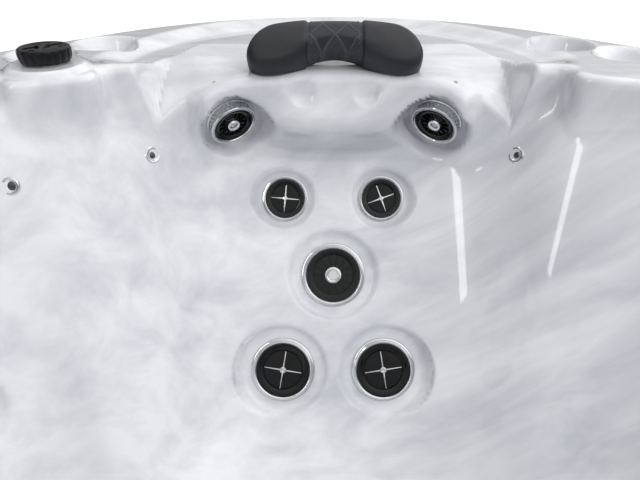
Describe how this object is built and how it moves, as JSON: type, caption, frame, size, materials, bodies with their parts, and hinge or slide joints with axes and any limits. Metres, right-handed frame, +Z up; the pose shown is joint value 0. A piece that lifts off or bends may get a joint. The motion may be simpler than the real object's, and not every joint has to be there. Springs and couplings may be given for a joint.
{
  "type": "hot tub",
  "caption": "Square acrylic hot tub with corner bucket seats, jets, pillows, rim controls, skimmer filter and a panelled cabinet.",
  "frame": {"origin": "centre of the base on the ground", "axes": "+Z up; the front with the keypad and the access panel faces -Y"},
  "size_m": [2.2, 2.2, 0.9542],
  "materials": {
    "acrylic": "gloss",
    "panel": "satin",
    "black_plastic": "matte",
    "black_gloss": "gloss",
    "steel": "polished",
    "frame": "satin",
    "foam": "matte",
    "grey_plastic": "matte",
    "white_plastic": "matte",
    "lens": "gloss",
    "filter": "matte",
    "brass": "satin"
  },
  "bodies": {
    "tub": {"acrylic_shell": "acrylic", "base_pan": "black_plastic", "frame": "frame", "front_panel": "panel", "back_panel": "panel", "left_panel": "panel", "right_panel": "panel", "corner_panels": "panel", "panel_screws": "steel", "footwell_support": "grey_plastic", "jet_bodies": "white_plastic", "jet_nuts": "white_plastic", "seat_jet_bezels": "steel", "other_jet_bezels": "steel", "other_jet_faces": "black_gloss", "other_jet_cores": "black_gloss", "light_rings": "steel", "light_lenses": "lens", "pillow": "foam", "other_pillows": "foam", "pillow_pegs": "black_plastic", "diverter_valve": "white_plastic", "air_valves": "white_plastic", "keypad_housing": "black_gloss", "filter_seat": "white_plastic", "filter_cartridge": "filter", "filter_ring": "grey_plastic", "weir_frame": "grey_plastic", "suction_grates": "grey_plastic", "drain_valve": "brass", "pump_motors": "frame", "pump_wet_ends": "black_plastic", "heater": "steel", "control_box": "grey_plastic", "ring_pipe": "white_plastic"},
    "face_neck_left": {"jet_face_neck_left": "black_gloss"},
    "core_neck_left": {"jet_core_neck_left": "steel"},
    "face_neck_right": {"jet_face_neck_right": "black_gloss"},
    "core_neck_right": {"jet_core_neck_right": "steel"},
    "face_upper_left": {"jet_face_upper_left": "black_gloss"},
    "core_upper_left": {"jet_core_upper_left": "black_gloss"},
    "face_upper_right": {"jet_face_upper_right": "black_gloss"},
    "core_upper_right": {"jet_core_upper_right": "black_gloss"},
    "face_centre": {"jet_face_centre": "black_gloss"},
    "core_centre": {"jet_core_centre": "steel"},
    "face_lower_left": {"jet_face_lower_left": "black_gloss"},
    "core_lower_left": {"jet_core_lower_left": "black_gloss"},
    "face_lower_right": {"jet_face_lower_right": "black_gloss"},
    "core_lower_right": {"jet_core_lower_right": "black_gloss"},
    "diverter_knob": {"diverter_knob": "black_gloss"},
    "air_knob_back": {"air_knob_back": "black_gloss"},
    "air_knob_left": {"air_knob_left": "black_gloss"},
    "keypad_button_1": {"keypad_button_1": "grey_plastic"},
    "keypad_button_2": {"keypad_button_2": "grey_plastic"},
    "keypad_button_3": {"keypad_button_3": "grey_plastic"},
    "keypad_button_4": {"keypad_button_4": "grey_plastic"},
    "filter_lid": {"filter_lid": "grey_plastic"},
    "weir_flap": {"weir_flap": "grey_plastic"},
    "impeller_left": {"impeller_left": "white_plastic"},
    "impeller_right": {"impeller_right": "white_plastic"}
  },
  "joints": [
    {"name": "face_neck_left_turn", "type": "hinge", "parent": "tub", "child": "face_neck_left", "pos_m": [0.57965, 0.81431, 0.80482], "axis": [-0.1886, -0.8708, -0.454], "range_deg": [0, 90]},
    {"name": "core_neck_left_tilt", "type": "hinge", "parent": "face_neck_left", "child": "core_neck_left", "pos_m": [0.57761, 0.80487, 0.7999], "axis": [-0.9773, 0.2117, 0], "range_deg": [-10, 10]},
    {"name": "face_neck_right_turn", "type": "hinge", "parent": "tub", "child": "face_neck_right", "pos_m": [0.81431, 0.57965, 0.80482], "axis": [-0.8708, -0.1886, -0.454], "range_deg": [0, 90]},
    {"name": "core_neck_right_tilt", "type": "hinge", "parent": "face_neck_right", "child": "core_neck_right", "pos_m": [0.80487, 0.57761, 0.7999], "axis": [-0.2117, 0.9773, 0], "range_deg": [-10, 10]},
    {"name": "face_upper_left_turn", "type": "hinge", "parent": "tub", "child": "face_upper_left", "pos_m": [0.6313, 0.74444, 0.66812], "axis": [-0.6124, -0.6124, 0.5], "range_deg": [0, 90]},
    {"name": "core_upper_left_spin", "type": "hinge", "parent": "face_upper_left", "child": "core_upper_left", "pos_m": [0.6313, 0.74444, 0.66812], "axis": [-0.6124, -0.6124, 0.5], "continuous": true},
    {"name": "face_upper_right_turn", "type": "hinge", "parent": "tub", "child": "face_upper_right", "pos_m": [0.74444, 0.6313, 0.66812], "axis": [-0.6124, -0.6124, 0.5], "range_deg": [0, 90]},
    {"name": "core_upper_right_spin", "type": "hinge", "parent": "face_upper_right", "child": "core_upper_right", "pos_m": [0.74444, 0.6313, 0.66812], "axis": [-0.6124, -0.6124, 0.5], "continuous": true},
    {"name": "face_centre_turn", "type": "hinge", "parent": "tub", "child": "face_centre", "pos_m": [0.64262, 0.64262, 0.55727], "axis": [-0.6124, -0.6124, 0.5], "range_deg": [0, 90]},
    {"name": "core_centre_tilt", "type": "hinge", "parent": "face_centre", "child": "core_centre", "pos_m": [0.64446, 0.64446, 0.55576], "axis": [-0.7071, 0.7071, 0], "range_deg": [-10, 10]},
    {"name": "face_lower_left_turn", "type": "hinge", "parent": "tub", "child": "face_lower_left", "pos_m": [0.527, 0.6458, 0.41957], "axis": [-0.6124, -0.6124, 0.5], "range_deg": [0, 90]},
    {"name": "core_lower_left_spin", "type": "hinge", "parent": "face_lower_left", "child": "core_lower_left", "pos_m": [0.527, 0.6458, 0.41957], "axis": [-0.6124, -0.6124, 0.5], "continuous": true},
    {"name": "face_lower_right_turn", "type": "hinge", "parent": "tub", "child": "face_lower_right", "pos_m": [0.6458, 0.527, 0.41957], "axis": [-0.6124, -0.6124, 0.5], "range_deg": [0, 90]},
    {"name": "core_lower_right_spin", "type": "hinge", "parent": "face_lower_right", "child": "core_lower_right", "pos_m": [0.6458, 0.527, 0.41957], "axis": [-0.6124, -0.6124, 0.5], "continuous": true},
    {"name": "diverter_turn", "type": "hinge", "parent": "tub", "child": "diverter_knob", "pos_m": [0.363, 0.934, 0.9], "axis": [0, 0, 1], "range_deg": [0, 180]},
    {"name": "air_knob_back_turn", "type": "hinge", "parent": "tub", "child": "air_knob_back", "pos_m": [-0.363, 0.934, 0.9], "axis": [0, 0, 1], "range_deg": [0, 180]},
    {"name": "air_knob_left_turn", "type": "hinge", "parent": "tub", "child": "air_knob_left", "pos_m": [-0.934, -0.363, 0.9], "axis": [0, 0, 1], "range_deg": [0, 180]},
    {"name": "keypad_button_1_press", "type": "slide", "parent": "tub", "child": "keypad_button_1", "axis": [0, 0, -1], "range_m": [0, 0.0012], "stiffness_N_per_m": 400, "springref_m": -0.0003},
    {"name": "keypad_button_2_press", "type": "slide", "parent": "tub", "child": "keypad_button_2", "axis": [0, 0, -1], "range_m": [0, 0.0012], "stiffness_N_per_m": 400, "springref_m": -0.0003},
    {"name": "keypad_button_3_press", "type": "slide", "parent": "tub", "child": "keypad_button_3", "axis": [0, 0, -1], "range_m": [0, 0.0012], "stiffness_N_per_m": 400, "springref_m": -0.0003},
    {"name": "keypad_button_4_press", "type": "slide", "parent": "tub", "child": "keypad_button_4", "axis": [0, 0, -1], "range_m": [0, 0.0012], "stiffness_N_per_m": 400, "springref_m": -0.0003},
    {"name": "filter_lid_hinge", "type": "hinge", "parent": "tub", "child": "filter_lid", "pos_m": [0, -0.985, 0.909], "axis": [-1, 0, 0], "range_deg": [-100, 0]},
    {"name": "weir_flap_hinge", "type": "hinge", "parent": "tub", "child": "weir_flap", "pos_m": [0, -0.725, 0.719], "axis": [1, 0, 0], "range_deg": [0, 75]},
    {"name": "impeller_left_spin", "type": "hinge", "parent": "tub", "child": "impeller_left", "pos_m": [-0.70711, -0.70711, 0.15], "axis": [-0.7071, 0.7071, 0], "continuous": true},
    {"name": "impeller_right_spin", "type": "hinge", "parent": "tub", "child": "impeller_right", "pos_m": [0.70711, -0.70711, 0.15], "axis": [-0.7071, -0.7071, 0], "continuous": true}
  ]
}
